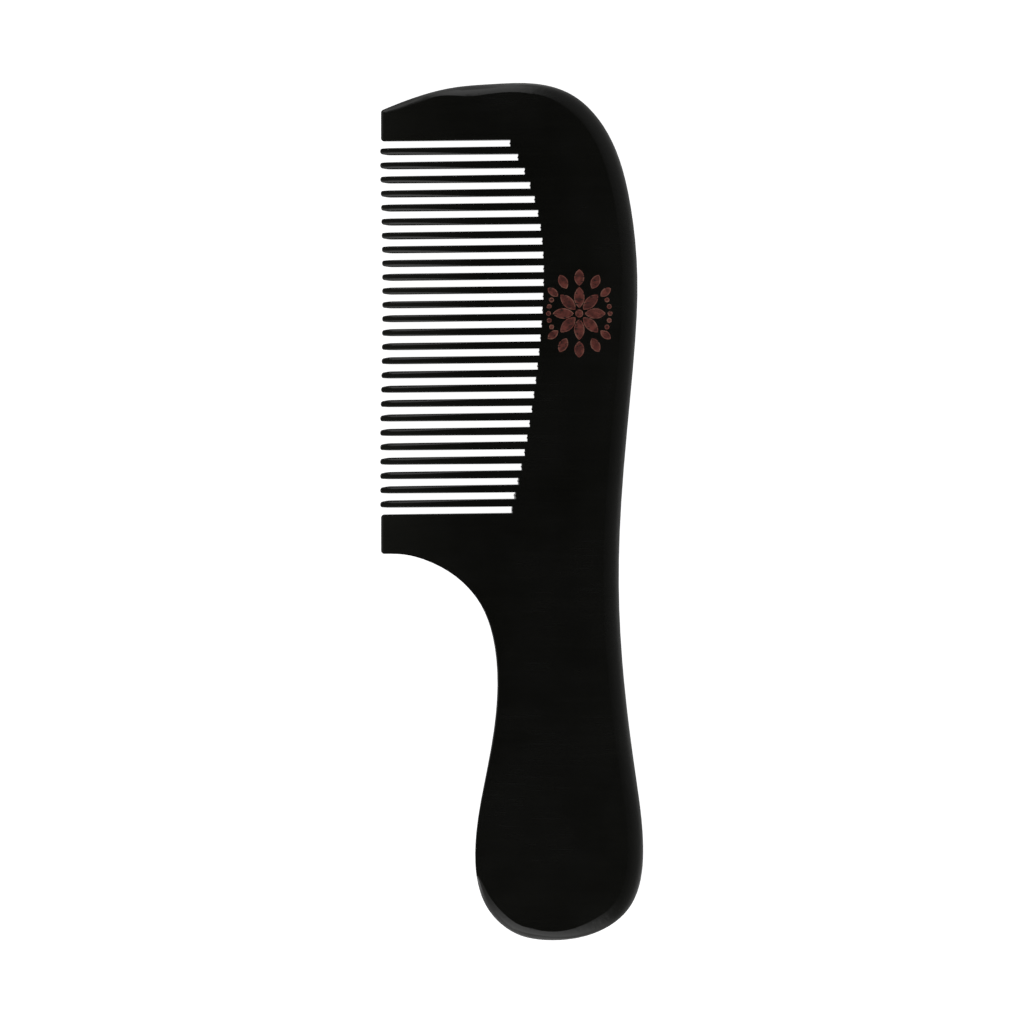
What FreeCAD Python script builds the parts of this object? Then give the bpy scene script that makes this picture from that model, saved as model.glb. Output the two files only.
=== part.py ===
import FreeCAD, Part
import math
import os
from FreeCAD import Vector

# Handled beard comb, sawn from one slab of dark wood.  Millimetres.
#
# Frame: the comb lies on its flat back face, on z = 0.  +Y runs from the
# handle to the head, +Z is the thickness, and the teeth point to -X.  The
# origin is under the middle of the comb.
#
# Nodes:
#   back_and_handle   the slab: head guard, spine, heel guard, neck, handle
#   tooth_01 .. _26   the teeth, numbered from the head to the handle, each
#                     meeting the slab face to face at its root
#   emblem_*          coloured fill in shallow recesses in the front face

# ---- driving dimensions -----------------------------------------------------
THICK = 8.4             # slab thickness at the spine and handle
TIP_X = -27.9           # plane of the guards' tips
WEDGE_X = 4.0           # the faces are flat to the right of here
FACE_R = 212.0          # to its left they curve in, 2.4 mm apart at the tips
FACE_CREST_X = 8.0      # where that curve would be level
SPINE_R = 3.7           # rounding of the spine's edges
RIM_R = 1.2             # rounding of the edges that the rim's arcs then cut back
RIM_PROUD = 0.1         # the rim's lower arc would end this far outside the edge
RIM_STOP = 0.12         # but stops at this share of the half thickness
RIM_ANGLE = 88.0        # where its upper arc ends, in degrees from upright
RIM_OVER = 0.012        # and how far above the face it is there
NECK_R = 0.9            # rounding of the edges that the fingers go round
HEEL_R = 0.5            # rounding of the heel guard's lower edges
CORNER_R = 0.7          # corners of the guards, seen from the front
TIP_NOSE_R = 1.6        # rounding of the guards' tips, seen from the side
TIP_FLAT = 0.05         # it stops this far short of a full round
TIP_ARC = 0.9           # half height of that rounding, as a share of its radius
EASE = 0.35             # the guards' edges beside the teeth are eased this much
EASE_LEAST = 0.2        # and by this share of it at the end of the cut
EASE_STEPS = 6          # the easing is lofted in this many lengths

PITCH = 3.0             # from one tooth to the next
TEETH = 26
KERF = 1.43             # width of a saw cut
FIRST_KERF_Y = 78.43    # centre of the cut beside the head guard, at x = 0
TILT = 0.65             # the saw cuts lean by this many degrees
WANDER = 0.52           # the cuts stray this far to the head, at the most
WANDER_CUT = 15         # at this cut
WANDER_SPAN = 11        # dying away over this many cuts on either side
ROOT_X = 6.8            # where the longest cut ends
DEEPEST_CUT = 9.5       # the longest cut is about this many cuts from the head
HEAD_RISE = 7.15        # the first cut is this much shorter, by this power
HEAD_POWER = 2.4
HEEL_RISE = 6.6         # and the last cut by this much
HEEL_POWER = 1.75
RIDGE = 0.16            # ridge between the two grooves at the end of a cut
RIDGE_HALF = 0.26       # and its half width
END_LEAN = 0.06         # the end of a cut slopes by this much
HEEL_LEAN = 0.14        # and by this much more for each cut
LEAN_CUT = 22           # past this one

TIPS_PROUD = 0.18       # the outer teeth stand this far beyond the guards
TIP_BOW = 0.43          # the row of tips is this hollow at its middle
TIP_BOW_Y = 46.0        # which is here
TIP_BOW_HALF = 26.0     # half the length of that hollow
TIP_ROUND = 0.38        # length of a tooth's rounded tip
TIP_HALF = 0.55         # half width behind it
TIP_THIN = 0.4          # thickness there, as a share of the shank's
TIP_LEAST = 0.4         # and at the very tip, as a share of that
NOSE = 2.2              # a tooth reaches its full section this far from the tip
NOSE_HALF = 0.76        # half width there
ONE_SIDED = 0.55        # how much more the worn side narrows to the tip
WORN_TURN = (5, 17)     # worn towards the heel up to here, the head from here
EDGE_R = 0.5            # rounding of a tooth's long edges near its tip
EDGE_WORN = 0.55        # share by which the worn side's is larger
EDGE_FADE = 22.0        # the rounding dies away over this length
SAWN_R = 0.03           # what is left of it at the root
EDGE_LIMIT = 0.96       # no edge's radius is more than this share of a half section
ROOT_STEP = 0.3         # a tooth's root stands this far clear of its cuts' ends
END_STATIONS = (0.03, 0.15, 0.4, 0.7, 1.0)  # sections along the rounded tip
NOSE_STATIONS = (0.3, 0.5, 0.75)            # and along the nose, as shares of it
SHANK_STATIONS = 8                          # and as many more along the shank,
STATION_POWER = 1.2                         # a little closer together near the nose

EMBLEM_X = 14.3         # centre of the ornament
EMBLEM_Y = 42.2
PETALS = 8              # in the rosette
PETAL = (3.4, 2.25, 1.12)       # distance from the centre, half length, half width
EYE_R = 0.85            # the dot in the middle
# The leaves of a spray, by their angle on either side of its middle one.
SPRAY = {0: (7.65, 1.75, 1.05), 27: (7.55, 1.65, 0.98), 51: (7.2, 1.4, 0.8)}
BEAD_DISTANCE = 6.55
BEAD_R = 0.52
BEAD_TURNS = (-26, -13, 0, 13, 26)      # degrees from the middle bead of a row
RECESS = 0.35           # depth of the recess that holds the fill
FILL_DROP = 0.04        # the fill lies this far below the face
OUTLINE = 0.2           # width of the pale line round each figure
OUTLINE_DROP = 0.02     # and how far below the face that line lies

MID = THICK / 2
PAST = 12.0             # the slab is made this much too long, then trimmed
CLEAR = 1.0             # cutting tools stand proud of the slab by this much
SAME = 1e-3             # points this close together are one point
SLACK = 0.05            # an edge this close to a plane lies in it

# The slab's outline from the heel guard, down the hollow of the neck, round
# the handle's end, up the spine and over the crown to the head guard.
HEEL_Y = -8.97
HEEL = [(TIP_X - PAST, HEEL_Y), (-33.5, HEEL_Y), (-27.5, HEEL_Y), (-23.0, -9.1)]
HOLLOW = [(-17.9, -10.45), (-11.9, -13.8), (-6.6, -19.8), (-3.8, -28.0)]
GRIP = [(-3.1, -37.0), (-4.4, -50.0), (-6.7, -62.0), (-7.85, -72.5)]
BUTT = [(-5.0, -84.8), (1.6, -90.2), (9.0, -91.3), (17.6, -89.75), (25.1, -84.2)]
SPINE = [
    (27.95, -71.5), (26.35, -56.0), (23.6, -33.0), (22.75, -15.0),
    (24.0, 11.5), (26.05, 34.0), (26.7, 49.5), (25.1, 66.0), (20.7, 80.0),
]
CROWN = [
    (12.1, 89.1), (5.0, 91.1), (-4.1, 91.04), (-12.0, 90.37),
    (-20.0, 88.42), (-27.3, 85.65), (-33.5, 82.8), (TIP_X - PAST, 79.4),
]
OUTLINE_POINTS = HEEL + HOLLOW + GRIP + BUTT + SPINE + CROWN

# Stretches of the outline and the rounding of their edges: from a point, to a
# point, radius at the first, radius at the second.
ROUNDINGS = [
    (HEEL[0], HEEL[3], HEEL_R, HEEL_R), (HEEL[3], HOLLOW[2], HEEL_R, NECK_R),
    (HOLLOW[2], GRIP[3], NECK_R, NECK_R), (GRIP[3], BUTT[0], NECK_R, RIM_R),
    (BUTT[0], CROWN[-1], RIM_R, RIM_R),
]

# The rim from the handle's end, up the spine, to the head guard's tip.  It is
# bevelled at both ends and softly rounded between them: place on the outline,
# width of the bevel, radius that joins the bevel to the face.
RIM = [
    ((-7.5, -77.5), 0.25, 0.3), ((-6.4, -82.0), 1.0, 1.3), ((-3.6, -86.6), 1.4, 1.9),
    (BUTT[1], 1.4, 1.9), (BUTT[2], 1.15, 1.8), ((14.0, -90.8), 0.9, 2.5),
    (BUTT[3], 0.7, 3.1), (BUTT[4], 0.3, SPINE_R),
]
RIM += [(point, 0.25, SPINE_R) for point in SPINE]
RIM += [
    (CROWN[0], 0.5, 3.3), (CROWN[1], 1.1, 2.3), (CROWN[2], 1.35, 1.8),
    (CROWN[3], 1.3, 1.7), (CROWN[4], 1.0, 1.3), (CROWN[5], 0.6, 0.75),
    (CROWN[6], 0.6, 0.75),
]


# ---- small helpers ----------------------------------------------------------
def line(a, b):
    return Part.LineSegment(a, b).toShape()


def arc(a, middle, b):
    return Part.Arc(a, middle, b).toShape()


def polygon(points):
    return Part.Wire(Part.makePolygon(points + [points[0]]))


def box(x0, x1, y0, y1, z0, z1):
    return Part.makeBox(x1 - x0, y1 - y0, z1 - z0, Vector(x0, y0, z0))


def lay(shape, y):
    """Turn a shape made along the X axis to the saw's line at height y."""
    shape.rotate(Vector(0, 0, 0), Vector(0, 0, 1), TILT)
    shape.translate(Vector(0, y, 0))
    return shape


def save(name, shape):
    shape.exportStep("parts/" + name + ".step")
    print(name, len(shape.Solids), round(shape.Volume, 2), shape.isValid())


# ---- the faces: flat, then curving in to the thin tips ----------------------
def face_drop(x):
    """How far the curved face at x lies below its crest."""
    return FACE_R - math.sqrt(FACE_R ** 2 - (FACE_CREST_X - x) ** 2)


def half_thickness(x):
    """Half the comb's thickness at x."""
    if x >= WEDGE_X:
        return MID
    return MID + face_drop(WEDGE_X) - face_drop(x)


def wedge_prism():
    """Everything between the two curved faces, from the tips rightwards."""
    def at(x, side, above=0.0):
        height = MID + face_drop(WEDGE_X) - face_drop(x) + above
        return Vector(x, -THICK * PAST, MID + side * height)

    half_way = (TIP_X + FACE_CREST_X) / 2
    right = Vector(-TIP_X + PAST - FACE_CREST_X, 0, 0)
    edges = [line(at(TIP_X, -1), at(TIP_X, 1))]
    for side in (1, -1):
        crest = at(FACE_CREST_X, side)
        above = at(FACE_CREST_X, side, CLEAR)
        edges.append(arc(at(TIP_X, side), at(half_way, side), crest))
        edges.append(line(crest, above))
        edges.append(line(above, above + right))
    edges.append(line(at(FACE_CREST_X, 1, CLEAR) + right, at(FACE_CREST_X, -1, CLEAR) + right))
    wire = Part.Wire(Part.__sortEdges__(edges))
    return Part.Face(wire).extrude(Vector(0, 2 * THICK * PAST, 0))


# ---- the row of saw cuts and teeth ------------------------------------------
def wander(i):
    """How far cut i strays towards the head from an even spacing."""
    off = min(1.0, abs(i - WANDER_CUT) / WANDER_SPAN)
    return WANDER * math.cos(off * math.pi / 2) ** 2


def kerf_y(i):
    return FIRST_KERF_Y - PITCH * i + wander(i)


def tooth_y(j):
    return (kerf_y(j) + kerf_y(j + 1)) / 2


def root_half(j):
    """Half the width of tooth j where it meets the slab."""
    return (kerf_y(j) - kerf_y(j + 1) - KERF) / 2


def kerf_end(i):
    """Where cut i ends: an arch, steep at the head and long at the heel."""
    past = i - DEEPEST_CUT
    if past < 0:
        return ROOT_X - HEAD_RISE * (-past / DEEPEST_CUT) ** HEAD_POWER
    return ROOT_X - HEEL_RISE * (past / (TEETH - DEEPEST_CUT)) ** HEEL_POWER


def kerf_lean(i):
    """The last few cuts end in a face that leans towards the front."""
    return END_LEAN + HEEL_LEAN * max(0, i - LEAN_CUT)


def tooth_root(j):
    return min(kerf_end(j), kerf_end(j + 1)) - ROOT_STEP


def tip_x(j):
    """The tips lie on a shallow hollow line between the two guards."""
    across = (tooth_y(j) - TIP_BOW_Y) / TIP_BOW_HALF
    return TIP_X - TIPS_PROUD + TIP_BOW * max(0.0, 1 - across ** 2)


def kerf_cutter(i):
    """One saw cut; the blade's two edges leave a small ridge at its end."""
    half = KERF / 2
    far = TIP_X - PAST

    def section(end, z):
        return polygon([
            Vector(far, -half, z), Vector(end, -half, z),
            Vector(end, -RIDGE_HALF, z), Vector(end - RIDGE, 0, z),
            Vector(end, RIDGE_HALF, z), Vector(end, half, z),
            Vector(far, half, z),
        ])

    low = section(kerf_end(i) - kerf_lean(i), -CLEAR)
    high = section(kerf_end(i), THICK + CLEAR)
    return lay(Part.makeLoft([low, high], True, True), kerf_y(i))


def slot(x, half, y):
    """A straight slot from beyond the tips to x."""
    return lay(box(TIP_X - PAST, x, -half, half, -CLEAR, THICK + CLEAR), y)


def tooth_seat(j):
    """Room for one tooth: it opens into the saw cuts on either side."""
    return slot(tooth_root(j), PITCH / 2 - KERF / 4, tooth_y(j))


def guard_slot(i):
    """The straight part of the first or last saw cut, short of its end's ridge."""
    return slot(kerf_end(i) - 2 * RIDGE, KERF / 2, kerf_y(i))


def eased_edge(i, guard_side, face_side):
    """What is sanded off the edge between a guard and one face, beside cut i."""
    end = kerf_end(i) - KERF
    start = TIP_X - CLEAR
    stations = [start + (end - start) * k / EASE_STEPS for k in range(EASE_STEPS + 1)]
    wall = guard_side * KERF / 2
    sections = []
    for x in stations:
        ease = EASE * min(1.0, EASE_LEAST + (end - x) / (end - TIP_X))
        top = half_thickness(max(x, TIP_X))
        corners = [(-ease, top + ease), (-ease, top - ease), (ease, top + ease)]
        sections.append(polygon([
            Vector(x, wall + guard_side * across, MID + face_side * z)
            for across, z in corners
        ]))
    return lay(Part.makeLoft(sections, True, True), kerf_y(i))


def tip_prism():
    """Everything to the right of the rounded tips, seen from the side."""
    centre = TIP_X - TIP_FLAT + TIP_NOSE_R
    height = TIP_ARC * TIP_NOSE_R
    start = centre - math.sqrt(TIP_NOSE_R ** 2 - height ** 2)
    far = THICK * PAST

    def at(x, z):
        return Vector(x, -far, MID + z)

    wire = Part.Wire([
        arc(at(start, -height), at(TIP_X - TIP_FLAT, 0), at(start, height)),
        line(at(start, height), at(start, THICK)),
        line(at(start, THICK), at(far, THICK)),
        line(at(far, THICK), at(far, -THICK)),
        line(at(far, -THICK), at(start, -THICK)),
        line(at(start, -THICK), at(start, -height)),
    ])
    return Part.Face(wire).extrude(Vector(0, 2 * far, 0))


# ---- the slab ---------------------------------------------------------------
def outline():
    curve = Part.BSplineCurve()
    curve.interpolate(Points=[Vector(x, y, 0) for x, y in OUTLINE_POINTS])
    return curve


def at_point(curve, point):
    return curve.parameter(Vector(*point, 0))


def same_place(edge, stretch, z):
    """True if a slab edge is the stretch of outline, raised to height z."""
    raised = [v.Point + Vector(0, 0, z) for v in stretch.Vertexes]
    ends = [v.Point for v in edge.Vertexes]
    if len(ends) != 2:
        return False
    return all(min((p - q).Length for q in ends) < SAME for p in raised)


def rounded_slab(curve):
    """The outline at full thickness, its edges rounded stretch by stretch."""
    stretches = []
    for start, end, r0, r1 in ROUNDINGS:
        edge = curve.toShape(at_point(curve, start), at_point(curve, end))
        stretches.append((edge, r0, r1))
    first = Vector(*OUTLINE_POINTS[0], 0)
    last = Vector(*OUTLINE_POINTS[-1], 0)
    wire = Part.Wire([edge for edge, r0, r1 in stretches] + [line(last, first)])
    slab = Part.Face(wire).extrude(Vector(0, 0, THICK))
    radii = []
    for number, edge in enumerate(slab.Edges, 1):
        for stretch, r0, r1 in stretches:
            if same_place(edge, stretch, 0) or same_place(edge, stretch, THICK):
                radii.append((number, r0, r1))
    document = FreeCAD.newDocument("slab")
    base = document.addObject("Part::Feature", "base")
    base.Shape = slab
    fillet = document.addObject("Part::Fillet", "fillet")
    fillet.Base = base
    fillet.Edges = radii
    document.recompute()
    rounded = fillet.Shape.copy()
    FreeCAD.closeDocument(document.Name)
    return rounded


def rim_arcs(width, joining, height):
    """Radius of a rim's lower arc, the turn where its upper arc takes over and
    how far in that one ends, for a bevel of this width."""
    chord = width + RIM_PROUD
    radius = (chord ** 2 + height ** 2) / (2 * chord)
    last = math.radians(RIM_ANGLE)
    turn = math.asin((height + RIM_OVER - joining * math.sin(last)) / (radius - joining))
    inside = RIM_PROUD - radius + (radius - joining) * math.cos(turn) + joining * math.cos(last)
    return radius, turn, inside


def rim_section(curve, point, width, joining, side):
    """Across the edge: what the bevel or the soft rounding takes away."""
    u = at_point(curve, point)
    origin = curve.value(u)
    tangent = curve.tangent(u)[0]
    outward = Vector(tangent.y, -tangent.x, 0)
    inside = rim_arcs(width, joining, half_thickness(max(origin.x, TIP_X)))[2]
    height = half_thickness(max(origin.x + outward.x * inside, TIP_X))
    radius, turn, inside = rim_arcs(width, joining, height)
    first = math.asin(RIM_STOP * height / radius)
    last = math.radians(RIM_ANGLE)
    outside = RIM_PROUD + CLEAR
    low = RIM_STOP * height
    above = height + CLEAR

    def at(out, z):
        return origin + outward * out + Vector(0, 0, MID + side * z)

    def on_lower(angle):
        return at(RIM_PROUD - radius + radius * math.cos(angle), radius * math.sin(angle))

    def on_upper(angle):
        out = inside + joining * (math.cos(angle) - math.cos(last))
        rise = (radius - joining) * math.sin(turn) + joining * math.sin(angle)
        return at(out, rise)

    return Part.Wire([
        arc(on_lower(first), on_lower((first + turn) / 2), on_lower(turn)),
        arc(on_upper(turn), on_upper((turn + last) / 2), on_upper(last)),
        line(on_upper(last), at(inside, above)),
        line(at(inside, above), at(outside, above)),
        line(at(outside, above), at(outside, low)),
        line(at(outside, low), on_lower(first)),
    ])


def rim_cutter(curve, side):
    sections = [rim_section(curve, *place, side) for place in RIM]
    return Part.makeLoft(sections, True, False)


def slab_blank():
    """The slab between the two curved faces, its edges and rim rounded."""
    curve = outline()
    slab = rounded_slab(curve).common(wedge_prism()).Solids[0]
    return slab.cut([rim_cutter(curve, side) for side in (1, -1)]).Solids[0]


def guard_corner(edge):
    """True for an upright edge of the slab in the plane of the guards' tips."""
    bounds = edge.BoundBox
    at_tip = max(abs(bounds.XMin - TIP_X), abs(bounds.XMax - TIP_X)) < SLACK
    in_bay = kerf_y(TEETH) < (bounds.YMin + bounds.YMax) / 2 < kerf_y(0)
    return at_tip and bounds.YLength < SLACK and not in_bay


def back_and_handle():
    slab = slab_blank().cut([guard_slot(0), guard_slot(TEETH)]).Solids[0]
    slab = slab.makeFillet(CORNER_R, [e for e in slab.Edges if guard_corner(e)])
    slab = slab.common(tip_prism()).Solids[0]
    cutters = [eased_edge(i, g, f) for i, g in ((0, 1), (TEETH, -1)) for f in (1, -1)]
    slab = slab.cut(cutters).Solids[0]
    cutters = [kerf_cutter(i) for i in range(TEETH + 1)]
    cutters += [tooth_seat(j) for j in range(TEETH)]
    return slab.cut(cutters + recess()).Solids[0]


# ---- the teeth --------------------------------------------------------------
def tooth_section(x, half_width, half_height, radii, shift):
    """A rounded rectangle across a tooth, in the plane at x.

    radii are those of its corners towards the head and towards the heel."""
    turns = []
    corners = [(1, 1), (-1, 1), (-1, -1), (1, -1)]
    for sy, sz in corners:
        radius = radii[0] if sy > 0 else radii[1]
        radius = min(radius, EDGE_LIMIT * half_width, EDGE_LIMIT * half_height)
        inner_y = half_width - radius
        inner_z = half_height - radius
        reach = radius / math.sqrt(2)
        side = Vector(x, shift + sy * half_width, MID + sz * inner_z)
        face = Vector(x, shift + sy * inner_y, MID + sz * half_height)
        middle = Vector(x, shift + sy * (inner_y + reach), MID + sz * (inner_z + reach))
        turns.append((side, middle, face) if sy * sz > 0 else (face, middle, side))
    edges = []
    for k, (start, middle, end) in enumerate(turns):
        edges.append(arc(start, middle, end))
        edges.append(line(end, turns[(k + 1) % len(turns)][0]))
    return Part.Wire(edges)


def worn_side(j):
    """1 where a tooth is worn on its heel side, -1 on its head side."""
    first, last = WORN_TURN
    turned = min(1.0, max(0.0, (j - first) / (last - first)))
    return math.cos(math.pi * turned)


def tooth(j):
    """A tooth along the saw's line: blunt tip, then sides that widen slowly."""
    tip = tip_x(j)
    root = tooth_root(j)
    worn = worn_side(j)
    shank_start = tip + NOSE
    shank_length = root - shank_start
    places = [tip + TIP_ROUND * share for share in END_STATIONS]
    places += [tip + NOSE * share for share in NOSE_STATIONS]
    for k in range(SHANK_STATIONS + 1):
        places.append(shank_start + shank_length * (k / SHANK_STATIONS) ** STATION_POWER)
    sections = []
    for x in places:
        back = x - tip
        end = min(1.0, back / TIP_ROUND)
        nose = min(1.0, back / NOSE)
        shank = max(0.0, (x - shank_start) / shank_length)
        blunt = math.sqrt(end * (2 - end))
        swell = math.sin(nose * math.pi / 2)
        full = NOSE_HALF + (root_half(j) - NOSE_HALF) * shank
        width = TIP_HALF + (full - TIP_HALF) * swell
        height = half_thickness(x) * (TIP_THIN + (1 - TIP_THIN) * swell)
        height *= TIP_LEAST + (1 - TIP_LEAST) * blunt
        fade = max(0.0, 1 - (back / EDGE_FADE) ** 2)
        rounding = SAWN_R + (EDGE_R - SAWN_R) * fade
        uneven = EDGE_WORN * worn * fade
        radii = (rounding * (1 - uneven), rounding * (1 + uneven))
        shift = ONE_SIDED * worn * (full - width)
        sections.append(tooth_section(x, width * blunt, height, radii, shift))
    return lay(Part.makeLoft(sections, True, True), tooth_y(j))


# ---- the ornament: a rosette between two sprays of leaves --------------------
def leaf(angle, sizes, grow):
    """A pointed leaf whose axis runs out from the ornament's centre.

    grow moves its outline out by that much, or in where it is negative."""
    distance, half_length, half_width = sizes
    bulge = (half_length ** 2 + half_width ** 2) / (2 * half_width)
    offset = bulge - half_width
    long = math.sqrt((bulge + grow) ** 2 - offset ** 2)
    wide = half_width + grow
    a = Vector(distance - long, 0, 0)
    b = Vector(distance + long, 0, 0)
    wire = Part.Wire([
        arc(a, Vector(distance, wide, 0), b),
        arc(b, Vector(distance, -wide, 0), a),
    ])
    wire.rotate(Vector(0, 0, 0), Vector(0, 0, 1), angle)
    return Part.Face(wire)


def bead(distance, angle, radius, grow):
    turn = math.radians(angle)
    centre = Vector(distance * math.cos(turn), distance * math.sin(turn), 0)
    circle = Part.Circle(centre, Vector(0, 0, 1), radius + grow)
    return Part.Face(Part.Wire(circle.toShape()))


def rosette(grow):
    petals = [leaf(360 * k / PETALS, PETAL, grow) for k in range(PETALS)]
    return petals + [bead(0, 0, EYE_R, grow)]


def leaves(grow):
    """A spray at each end; its middle leaf, at angle 0, is the only one unpaired."""
    figures = []
    for end in (90, 270):
        for turn, sizes in SPRAY.items():
            for angle in {end - turn, end + turn}:
                figures.append(leaf(angle, sizes, grow))
    return figures


def beads(grow):
    turns = [end + turn for end in (0, 180) for turn in BEAD_TURNS]
    return [bead(BEAD_DISTANCE, turn, BEAD_R, grow) for turn in turns]


FIGURES = {"rosette": rosette, "leaves": leaves, "beads": beads}


def on_face(faces, low, high):
    """Raise flat figures to solids between two heights at the emblem's place."""
    solids = []
    for face in faces:
        face.translate(Vector(EMBLEM_X, EMBLEM_Y, low))
        solids.append(face.extrude(Vector(0, 0, high - low)))
    return solids


def recess():
    figures = [f for figure in FIGURES.values() for f in figure(0.0)]
    return on_face(figures, THICK - RECESS, THICK + CLEAR)


def emblem_fill(figure):
    solids = on_face(figure(-OUTLINE), THICK - RECESS, THICK - FILL_DROP)
    return Part.Compound(solids)


def emblem_outlines():
    solids = []
    for figure in FIGURES.values():
        outer = on_face(figure(0.0), THICK - RECESS, THICK - OUTLINE_DROP)
        inner = on_face(figure(-OUTLINE), THICK - RECESS - CLEAR, THICK)
        for whole, core in zip(outer, inner):
            solids += whole.cut(core).Solids
    return Part.Compound(solids)


# ---- write every node -------------------------------------------------------
os.makedirs("parts", exist_ok=True)
save("back_and_handle", back_and_handle())
for j in range(TEETH):
    save("tooth_%02d" % (j + 1), tooth(j))
for name, figure in FIGURES.items():
    save("emblem_" + name, emblem_fill(figure))
save("emblem_outlines", emblem_outlines())
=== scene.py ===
import math

import bpy
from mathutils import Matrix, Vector


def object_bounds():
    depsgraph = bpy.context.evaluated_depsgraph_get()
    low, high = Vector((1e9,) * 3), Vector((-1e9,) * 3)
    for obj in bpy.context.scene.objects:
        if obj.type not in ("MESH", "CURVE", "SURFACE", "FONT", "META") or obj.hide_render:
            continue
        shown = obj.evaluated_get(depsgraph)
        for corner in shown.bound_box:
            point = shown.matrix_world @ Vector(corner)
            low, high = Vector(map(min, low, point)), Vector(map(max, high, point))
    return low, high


# Looks for the beard comb.  Metres, in the CAD model's frame: the comb lies on
# its back on z = 0, its head towards +Y and its teeth towards -X.

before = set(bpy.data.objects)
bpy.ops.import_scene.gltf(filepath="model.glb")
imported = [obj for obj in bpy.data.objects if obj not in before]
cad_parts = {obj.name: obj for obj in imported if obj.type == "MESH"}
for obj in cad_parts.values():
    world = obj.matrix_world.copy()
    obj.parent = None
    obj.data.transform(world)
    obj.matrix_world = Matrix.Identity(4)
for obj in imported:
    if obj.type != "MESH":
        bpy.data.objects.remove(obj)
cad_low, cad_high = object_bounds()

# ---- driving values ----------------------------------------------------------
VIEW_WIDTH = 0.2177             # what the picture takes in at the comb's front face
CAMERA_HEIGHT = 2.2             # above the comb's front face
CAMERA_Y = 0.033                # the camera stands over the head
SENSOR = 36.0                   # millimetres
SIGHT = 20.0                    # nothing is farther off than this

WOOD_DARK = (0.0028, 0.0029, 0.0017)
WOOD_LIGHT = (0.0044, 0.0045, 0.0030)
WOOD_PALE = (0.020, 0.0205, 0.0165)   # mixed in where the photo's wood is lighter
FILL_DARK = (0.075, 0.013, 0.009)
FILL_LIGHT = (0.230, 0.055, 0.040)
LINE_COLOUR = (0.340, 0.150, 0.110)

# Noise patterns: (scale, stretch, detail).  The wood's grain runs along the
# teeth, which is X, so its patterns change least that way.
GRAIN = (900.0, (0.045, 1.0, 1.0), 5.0)
BANDS = (130.0, (0.10, 1.0, 0.6), 3.0)
PORES = (2600.0, (0.035, 1.0, 1.0), 2.0)
WEAR = (55.0, (1.0, 1.0, 1.0), 3.0)
CLOUD = (700.0, (1.0, 1.0, 1.0), 4.0)
SPECKS = (3200.0, (0.4, 1.0, 1.0), 3.0)
NOISE_ROUGHNESS = 0.55

# The noise values between which each pattern fades in.
GRAIN_SHOWS = (0.35, 0.75)
BANDS_SHOW = (0.3, 0.7)
PORES_DULL = (0.56, 0.7)
PORES_SINK = (0.58, 0.72)
WEAR_DULLS = (0.3, 0.7)
PALE_VARIES = (0.2, 0.8)
CLOUD_SHOWS = (0.34, 0.68)
SPECKS_SHOW = (0.56, 0.66)
BAND_SHARE = (0.5, 1.0)               # how much grain shows, least and most
PALE_SHARE = (0.7, 1.3)               # how much of the paleness shows, least and most

# Where the wood is paler: (from, to, how much of WOOD_PALE at the far end).
# These follow how light the photo is there, which is taken to be wear.
PALER_TO_TIPS_X = (-0.006, -0.028, 0.30)     # towards the tooth tips
PALER_TO_HANDLE_END_Y = (-0.055, -0.090, 0.10)    # towards the end of the handle
PALER_TO_SPINE_X = (0.010, 0.024, 0.08)       # towards the spine

WOOD_ROUGHNESS = (0.20, 0.26)         # most waxed, least waxed
PORE_ROUGHNESS = 0.025                # more than that in the pores
GRAIN_HEIGHT = 0.35                   # as a share of the pores' depth
WOOD_BUMP = (0.03, 0.00001)           # strength, depth
PAINT_BUMP = (0.25, 0.00004)
WOOD_IOR = 1.5
PAINT_IOR = 1.45
FILL_ROUGHNESS = 0.5
LINE_ROUGHNESS = 0.45

FLOOR_SIZE = 8.0
FLOOR_COLOUR = (0.60, 0.60, 0.60)
FLOOR_ROUGHNESS = 0.9
FLOOR_GLOW = 1.0
WHITE = (1, 1, 1, 1)
FLOOR_Z = -0.00002                    # just clear of the comb's back
CURTAIN_RADIUS = 3.9
CURTAIN_HEIGHT = 3.2
CURTAIN_SIDES = 96

# The studio as the comb reflects it.  A lamp is (heading, brightness, reach to
# either side of the heading).  Headings are in degrees, anticlockwise from the
# comb's right side.  Heights are the sky's own: 1 overhead, 0 at the horizon.
LAMPS = ((103, 1.35, 26), (55, 0.14, 60), (-100, 1.45, 50), (-140, 0.40, 40))
ZENITH = 0.030
SURROUND = 0.16                 # all round, near the horizon
SURROUND_RIGHT = 0.10           # more than that on the right, less on the left
SURROUND_POWER = 0.6            # how fast it grows from overhead down
LAMP_HEIGHTS = (0.99, 0.84)     # a lamp starts below the first, is full at the second
TABLE = 0.45                    # the white table, below the horizon
TABLE_RIGHT = 0.05              # again more on the right
TABLE_HEIGHTS = (0.0, -0.4)     # from the sky's last to the table's full brightness
LEAST = 0.001                   # keeps a division off zero


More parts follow.
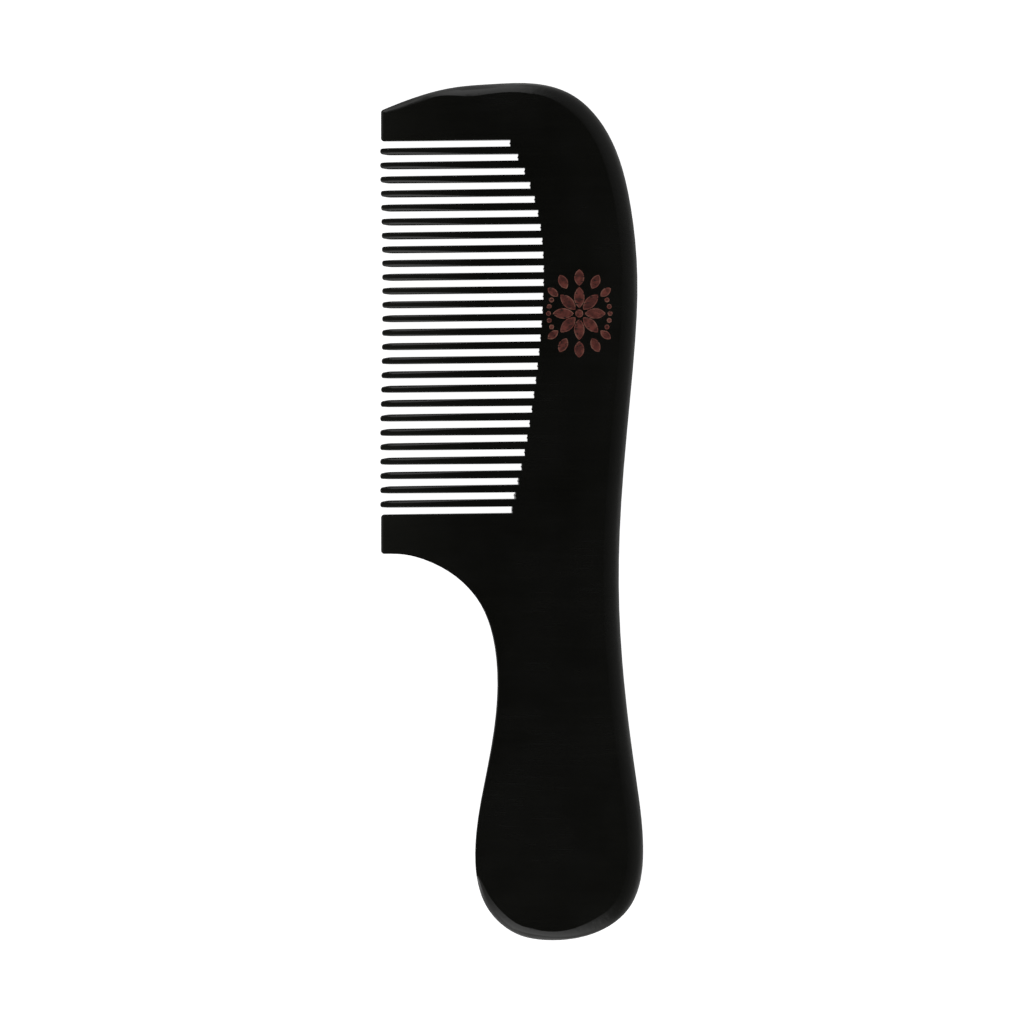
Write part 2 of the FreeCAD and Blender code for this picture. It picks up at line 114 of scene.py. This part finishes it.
# ---- small helpers -------------------------------------------------------------
class Nodes:
    """Adds nodes to a tree and joins them, one call a node."""

    def __init__(self, tree):
        self.tree = tree
        tree.nodes.clear()

    def add(self, kind, **settings):
        node = self.tree.nodes.new(kind)
        for name, value in settings.items():
            setattr(node, name, value)
        return node

    def join(self, output, socket):
        self.tree.links.new(output, socket)

    def feed(self, socket, value):
        """Give a socket a number, a colour or another node's output."""
        if isinstance(value, bpy.types.NodeSocket):
            self.join(value, socket)
        else:
            socket.default_value = value

    def math(self, operation, *values, clamp=False):
        node = self.add("ShaderNodeMath", operation=operation, use_clamp=clamp)
        for socket, value in zip(node.inputs, values):
            self.feed(socket, value)
        return node.outputs[0]

    def remap(self, value, from_low, from_high, to_low=0.0, to_high=1.0):
        node = self.add("ShaderNodeMapRange", interpolation_type="SMOOTHSTEP")
        self.feed(node.inputs["Value"], value)
        node.inputs["From Min"].default_value = from_low
        node.inputs["From Max"].default_value = from_high
        node.inputs["To Min"].default_value = to_low
        node.inputs["To Max"].default_value = to_high
        return node.outputs["Result"]

    def mix_colour(self, factor, a, b):
        node = self.add("ShaderNodeMix", data_type="RGBA")
        self.feed(node.inputs[0], factor)
        self.feed(node.inputs[6], (*a, 1) if isinstance(a, tuple) else a)
        self.feed(node.inputs[7], (*b, 1) if isinstance(b, tuple) else b)
        return node.outputs[2]

    def noise(self, place, pattern):
        scale, stretch, detail = pattern
        mapping = self.add("ShaderNodeMapping")
        self.join(place, mapping.inputs["Vector"])
        mapping.inputs["Scale"].default_value = stretch
        node = self.add("ShaderNodeTexNoise")
        self.join(mapping.outputs["Vector"], node.inputs["Vector"])
        node.inputs["Scale"].default_value = scale
        node.inputs["Detail"].default_value = detail
        node.inputs["Roughness"].default_value = NOISE_ROUGHNESS
        return node.outputs["Fac"]

    def principled(self, colour, roughness, ior):
        shader = self.add("ShaderNodeBsdfPrincipled")
        self.feed(shader.inputs["Base Color"], colour)
        self.feed(shader.inputs["Roughness"], roughness)
        shader.inputs["IOR"].default_value = ior
        return shader

    def roughen(self, shader, height, bump_size):
        strength, depth = bump_size
        bump = self.add("ShaderNodeBump")
        bump.inputs["Strength"].default_value = strength
        bump.inputs["Distance"].default_value = depth
        self.join(height, bump.inputs["Height"])
        self.join(bump.outputs["Normal"], shader.inputs["Normal"])


def new_material(name):
    material = bpy.data.materials.new(name)
    material.use_nodes = True
    return material, Nodes(material.node_tree)


def finish_shader(nodes, shader):
    output = nodes.add("ShaderNodeOutputMaterial")
    nodes.join(shader.outputs[0], output.inputs["Surface"])


# ---- materials -----------------------------------------------------------------
def dark_wood():
    """Hardwood stained black and waxed: fine grain and pores along the teeth."""
    material, nodes = new_material("dark_wood_finish")
    place = nodes.add("ShaderNodeTexCoord").outputs["Object"]
    grain = nodes.noise(place, GRAIN)
    bands = nodes.noise(place, BANDS)
    pores = nodes.noise(place, PORES)
    wear = nodes.noise(place, WEAR)

    split = nodes.add("ShaderNodeSeparateXYZ")
    nodes.join(place, split.inputs[0])
    x, y, _ = split.outputs
    # The wood is paler towards the tooth tips, the handle's end and the spine, set by
    # position alone.
    pale = 0.0
    for along, (start, stop, share) in ((x, PALER_TO_TIPS_X), (y, PALER_TO_HANDLE_END_Y), (x, PALER_TO_SPINE_X)):
        pale = nodes.math("ADD", pale, nodes.remap(along, start, stop, 0.0, share))
    pale = nodes.math("MULTIPLY", pale, nodes.remap(wear, *PALE_VARIES, *PALE_SHARE))

    banding = nodes.remap(bands, *BANDS_SHOW, *BAND_SHARE)
    streaks = nodes.math("MULTIPLY", nodes.remap(grain, *GRAIN_SHOWS), banding)
    tone = nodes.mix_colour(streaks, WOOD_DARK, WOOD_LIGHT)
    tone = nodes.mix_colour(pale, tone, WOOD_PALE)
    waxed = nodes.remap(wear, *WEAR_DULLS, *WOOD_ROUGHNESS)
    dulled = nodes.remap(pores, *PORES_DULL, 0.0, PORE_ROUGHNESS)
    rough = nodes.math("ADD", waxed, dulled)
    shader = nodes.principled(tone, rough, WOOD_IOR)

    ridges = nodes.math("MULTIPLY", grain, GRAIN_HEIGHT)
    height = nodes.math("SUBTRACT", ridges, nodes.remap(pores, *PORES_SINK))
    nodes.roughen(shader, height, WOOD_BUMP)
    finish_shader(nodes, shader)
    return material


def paint(name, dark, light, roughness):
    """Red-brown paint, a little uneven, with specks where the wood shows."""
    material, nodes = new_material(name)
    place = nodes.add("ShaderNodeTexCoord").outputs["Object"]
    cloud = nodes.noise(place, CLOUD)
    specks = nodes.noise(place, SPECKS)

    tone = nodes.mix_colour(nodes.remap(cloud, *CLOUD_SHOWS), dark, light)
    tone = nodes.mix_colour(nodes.remap(specks, *SPECKS_SHOW), tone, WOOD_LIGHT)
    shader = nodes.principled(tone, roughness, PAINT_IOR)
    nodes.roughen(shader, specks, PAINT_BUMP)
    finish_shader(nodes, shader)
    return material


def dress_nodes():
    finishes = {
        "dark_wood": dark_wood(),
        "emblem_fill": paint(
            "emblem_fill_finish", FILL_DARK, FILL_LIGHT, FILL_ROUGHNESS),
        "emblem_outline": paint(
            "emblem_outline_finish", FILL_LIGHT, LINE_COLOUR, LINE_ROUGHNESS),
    }
    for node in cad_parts.values():
        for slot in node.material_slots:
            name = slot.material.name.split(".")[0]
            slot.material = finishes[name]


# ---- floor, light and camera -----------------------------------------------------
def lay_floor():
    """A pale sheet that glows, so that it is as white as the photo's background.

    The comb doesn't reflect it: the studio's own table is there for that.
    """
    bpy.ops.mesh.primitive_plane_add(size=FLOOR_SIZE, location=(0, 0, FLOOR_Z))
    floor = bpy.context.object
    floor.name = "floor"
    material, nodes = new_material("pale_floor")
    shader = nodes.add("ShaderNodeBsdfPrincipled")
    shader.inputs["Base Color"].default_value = (*FLOOR_COLOUR, 1)
    shader.inputs["Roughness"].default_value = FLOOR_ROUGHNESS
    shader.inputs["Emission Color"].default_value = WHITE
    shader.inputs["Emission Strength"].default_value = FLOOR_GLOW
    finish_shader(nodes, shader)
    floor.data.materials.append(material)
    floor.visible_glossy = False


def hang_curtain():
    """A white curtain round the floor's edge, the background of low views.

    It lights nothing, so the comb looks the same with it and without it.
    """
    bpy.ops.mesh.primitive_cylinder_add(
        vertices=CURTAIN_SIDES, radius=CURTAIN_RADIUS, depth=CURTAIN_HEIGHT,
        end_fill_type="NOTHING", location=(0, 0, CURTAIN_HEIGHT / 2))
    curtain = bpy.context.object
    curtain.name = "curtain"
    material, nodes = new_material("white_curtain")
    finish_shader(nodes, nodes.add("ShaderNodeEmission"))
    curtain.data.materials.append(material)
    curtain.visible_diffuse = False
    curtain.visible_glossy = False
    curtain.visible_shadow = False


def light_studio():
    """A soft studio: dark overhead, with lamps beyond both ends of the comb."""
    world = bpy.data.worlds.new("studio")
    world.use_nodes = True
    bpy.context.scene.world = world
    nodes = Nodes(world.node_tree)
    split = nodes.add("ShaderNodeSeparateXYZ")
    nodes.join(nodes.add("ShaderNodeTexCoord").outputs["Generated"], split.inputs[0])
    x, y, z = split.outputs
    squares = nodes.math("MULTIPLY_ADD", x, x, nodes.math("MULTIPLY", y, y))
    level = nodes.math("MAXIMUM", nodes.math("SQRT", squares), LEAST)
    east = nodes.math("DIVIDE", x, level)
    north = nodes.math("DIVIDE", y, level)
    from_top = nodes.math("SUBTRACT", 1.0, z, clamp=True)
    descent = nodes.math("POWER", from_top, SURROUND_POWER)

    side = nodes.math("MULTIPLY_ADD", east, SURROUND_RIGHT, SURROUND)
    total = nodes.math("MULTIPLY_ADD", side, descent, ZENITH)
    low_down = nodes.remap(z, *LAMP_HEIGHTS)
    for heading, brightness, reach in LAMPS:
        turn = math.radians(heading)
        toward = nodes.math("MULTIPLY", east, math.cos(turn))
        toward = nodes.math("MULTIPLY_ADD", north, math.sin(turn), toward)
        lamp = nodes.remap(toward, math.cos(math.radians(reach)), 1.0, 0.0, brightness)
        total = nodes.math("MULTIPLY_ADD", lamp, low_down, total)

    below = nodes.remap(z, *TABLE_HEIGHTS)
    kept = nodes.math("MULTIPLY", total, nodes.math("SUBTRACT", 1.0, below))
    table = nodes.math("MULTIPLY_ADD", east, TABLE_RIGHT, TABLE)
    total = nodes.math("MULTIPLY_ADD", below, table, kept)
    background = nodes.add("ShaderNodeBackground")
    nodes.join(total, background.inputs["Strength"])
    output = nodes.add("ShaderNodeOutputWorld")
    nodes.join(background.outputs[0], output.inputs["Surface"])


def place_camera():
    top = cad_high.z
    data = bpy.data.cameras.new("camera")
    camera = bpy.data.objects.new("camera", data)
    bpy.context.collection.objects.link(camera)
    place = Vector((0, CAMERA_Y, top + CAMERA_HEIGHT))
    aim = Vector((0, 0, top))
    camera.location = place
    camera.rotation_euler = (-math.atan2(CAMERA_Y, CAMERA_HEIGHT), 0, 0)
    data.sensor_width = SENSOR
    data.lens = SENSOR * (aim - place).length / VIEW_WIDTH
    data.clip_end = SIGHT
    bpy.context.scene.camera = camera


# ---- put it together ---------------------------------------------------------------
dress_nodes()
lay_floor()
hang_curtain()
light_studio()
place_camera()
bpy.context.scene.view_settings.view_transform = "Standard"
